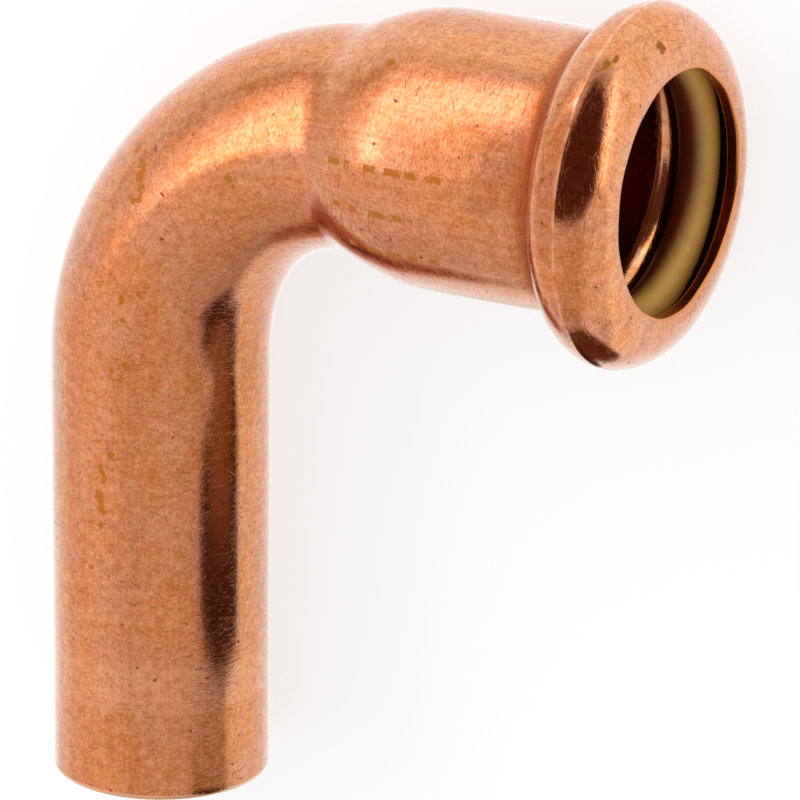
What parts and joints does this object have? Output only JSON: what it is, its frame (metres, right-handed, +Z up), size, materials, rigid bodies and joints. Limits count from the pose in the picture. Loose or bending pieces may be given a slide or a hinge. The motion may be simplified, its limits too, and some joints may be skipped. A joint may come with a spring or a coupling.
{
  "type": "copper press elbow",
  "caption": "Copper press elbow turning a pipe run through a right angle, with a plain spigot leg and an expanded press socket whose rolled bead holds a sealing ring.",
  "frame": {"origin": "centre of the spigot's end face, on the spigot's axis", "axes": "-Y out of the spigot, +Z up as the elbow lies on its side, the socket opens towards +X and a little upwards"},
  "size_m": [0.0479, 0.06, 0.024],
  "materials": {
    "copper": "satin, lightly scratched bare copper",
    "seal": "smooth matte"
  },
  "bodies": {
    "root": {"elbow_body": "copper", "sealing_ring": "seal"}
  },
  "joints": []
}
